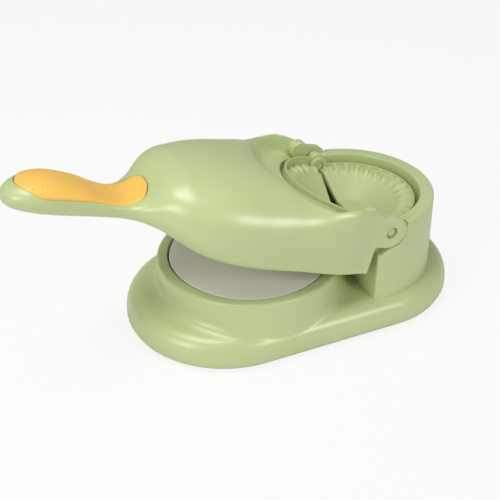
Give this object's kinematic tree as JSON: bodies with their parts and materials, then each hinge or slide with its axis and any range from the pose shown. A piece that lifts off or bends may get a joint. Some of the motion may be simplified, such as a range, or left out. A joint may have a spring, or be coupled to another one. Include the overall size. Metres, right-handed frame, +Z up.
{
  "type": "dumpling maker press",
  "caption": "Hand press that stamps dough rounds under a hinged lever arm and folds filled pockets in a toothed round mould behind the press.",
  "frame": {"origin": "middle of the base, on the table, in the plane of the rubber feet", "axes": "+Z up; -X along the base towards the handle end, +X towards the mould tower; +Y to the far side of the picture"},
  "size_m": [0.2548, 0.112, 0.1112],
  "materials": {
    "body_plastic": "satin moulded plastic, sage green",
    "mould_plastic": "satin moulded plastic, sage green",
    "plate_plastic": "smooth off-white plastic",
    "grip_rubber": "soft warm yellow grip with small dimples",
    "screw_steel": "plain steel screws",
    "foot_rubber": "dark grey rubber"
  },
  "bodies": {
    "base": {"base_shell": "body_plastic", "bottom_cover": "body_plastic", "bottom_cover_screws": "screw_steel", "foot_handle_left": "foot_rubber", "foot_handle_right": "foot_rubber", "foot_tower_left": "foot_rubber", "foot_tower_right": "foot_rubber", "centre_foot": "foot_rubber", "lower_press_plate": "plate_plastic", "rear_mould": "mould_plastic", "rear_mould_screws": "screw_steel", "hinge_pin_left": "mould_plastic", "hinge_pin_right": "mould_plastic"},
    "arm": {"arm_shell": "body_plastic", "arm_underside_cover": "body_plastic", "arm_cover_screws": "screw_steel", "handle_underside_cover": "body_plastic", "grip_insert": "grip_rubber", "upper_press_plate": "plate_plastic", "press_plate_screw": "screw_steel"},
    "front_mould": {"front_mould": "mould_plastic"}
  },
  "joints": [
    {"name": "arm_hinge", "type": "hinge", "parent": "base", "child": "arm", "pos_m": [0.036, 0, 0.06], "axis": [0, 1, 0], "range_deg": [-15, 85]},
    {"name": "front_mould_hinge", "type": "hinge", "parent": "arm", "child": "front_mould", "pos_m": [0.036, 0, 0.06], "axis": [0, 1, 0], "range_deg": [-5, 74.5]}
  ]
}
